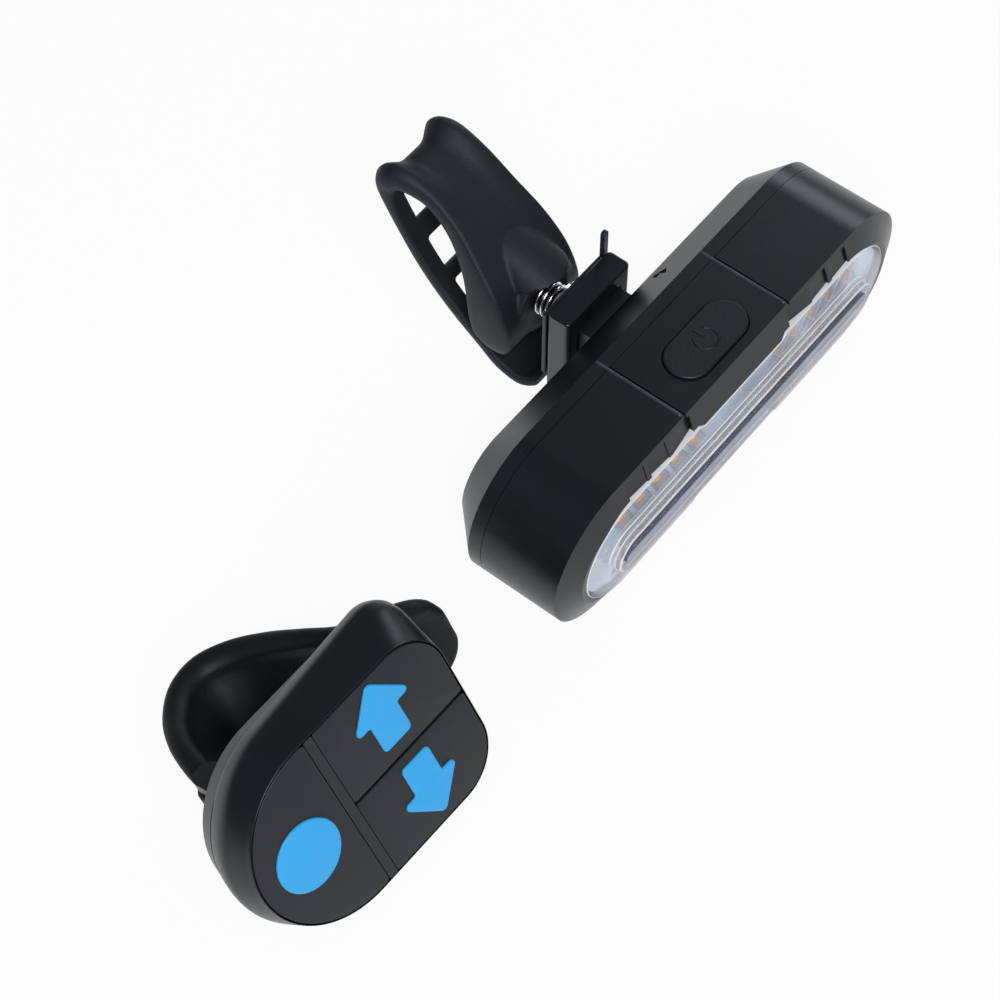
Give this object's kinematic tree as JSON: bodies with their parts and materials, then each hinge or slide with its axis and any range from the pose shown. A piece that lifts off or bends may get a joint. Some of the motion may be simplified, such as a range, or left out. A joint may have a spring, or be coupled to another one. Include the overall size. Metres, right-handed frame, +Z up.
{
  "type": "bicycle turn signal light",
  "caption": "Rounded bar bicycle turn signal light with a clear ribbed lens, a slide-off strap mount and a strap-on handlebar remote with arrow keys",
  "frame": {"origin": "middle of the flat underside of the light, on the ground it stands on", "axes": "+X along the light, away from the remote; the lens faces -Y and the strap mount is on +Y; +Z up"},
  "size_m": [0.1731, 0.0802, 0.0386],
  "materials": {
    "satin_black": "satin moulded ABS with a fine grain",
    "clear_lens": "polished clear polycarbonate",
    "white_reflector": "glossy white reflector tray",
    "white_board": "white solder mask",
    "amber_lamp": "amber phosphor under clear resin",
    "light_guide": "polished clear acrylic",
    "dark_plastic": "black nylon",
    "cell_wrap": "silver pouch of a lithium cell",
    "plated_steel": "bright nickel plate",
    "black_rubber": "soft black silicone",
    "button_rubber": "textured black silicone",
    "grey_rubber": "grey silicone",
    "screw_steel": "zinc plated steel",
    "gloss_black": "glossy black nylon",
    "spring_steel": "blackened spring steel",
    "strap_rubber": "matte black silicone",
    "green_board": "green solder mask",
    "contact_brass": "bare brass strip",
    "key_rubber": "matte dark grey silicone",
    "blue_insert": "satin sky blue inlay"
  },
  "bodies": {
    "light": {"front_housing": "satin_black", "lens": "clear_lens", "reflector": "white_reflector", "led_board": "white_board", "amber_lamps": "amber_lamp", "light_strip": "light_guide", "tact_switch": "dark_plastic", "battery_pack": "cell_wrap", "charge_socket": "plated_steel", "cover_gasket": "grey_rubber", "rear_cover": "satin_black", "cover_screws": "screw_steel"},
    "button": {"power_button": "button_rubber"},
    "plug": {"port_plug": "black_rubber"},
    "mount": {"bracket": "gloss_black", "spring_washer": "plated_steel", "pivot_spring": "plated_steel", "pivot_screw": "screw_steel"},
    "lever": {"release_lever": "spring_steel"},
    "band": {"strap": "strap_rubber", "strap_hook": "dark_plastic", "pivot_bush": "dark_plastic"},
    "remote": {"remote_front_shell": "satin_black", "remote_back_shell": "satin_black", "remote_gasket": "grey_rubber", "key_membrane": "grey_rubber", "remote_board": "green_board", "remote_switches": "dark_plastic", "coin_cell": "plated_steel", "cell_contact": "contact_brass", "remote_screws": "screw_steel", "remote_strap": "strap_rubber", "remote_hook": "dark_plastic"},
    "mode": {"mode_key": "key_rubber", "mode_insert": "blue_insert"},
    "left": {"left_key": "key_rubber", "left_arrow": "blue_insert"},
    "right": {"right_key": "key_rubber", "right_arrow": "blue_insert"}
  },
  "joints": [
    {"name": "power_press", "type": "slide", "parent": "light", "child": "button", "axis": [0, 0, -1], "range_m": [0, 0.0005], "stiffness_N_per_m": 2000},
    {"name": "plug_pull", "type": "slide", "parent": "light", "child": "plug", "axis": [0, 0, -1], "range_m": [0, 0.008]},
    {"name": "bracket_slide", "type": "slide", "parent": "light", "child": "mount", "axis": [0, 0, 1], "range_m": [0, 0.02]},
    {"name": "lever_flex", "type": "hinge", "parent": "mount", "child": "lever", "pos_m": [0, 0.02505, 0.0078], "axis": [-1, 0, 0], "range_deg": [0, 3], "stiffness_Nm_per_rad": 1},
    {"name": "strap_swivel", "type": "hinge", "parent": "mount", "child": "band", "pos_m": [0, 0.034, 0.0158], "axis": [0, 1, 0], "continuous": true},
    {"name": "remote_lift", "type": "slide", "parent": "light", "child": "remote", "axis": [0, 0, 1], "range_m": [0, 0.02]},
    {"name": "mode_press", "type": "slide", "parent": "remote", "child": "mode", "axis": [0.0619, 0.8979, -0.4358], "range_m": [0, 0.0005], "stiffness_N_per_m": 1500},
    {"name": "left_press", "type": "slide", "parent": "remote", "child": "left", "axis": [0.0619, 0.8979, -0.4358], "range_m": [0, 0.0005], "stiffness_N_per_m": 1500},
    {"name": "right_press", "type": "slide", "parent": "remote", "child": "right", "axis": [0.0619, 0.8979, -0.4358], "range_m": [0, 0.0005], "stiffness_N_per_m": 1500}
  ]
}
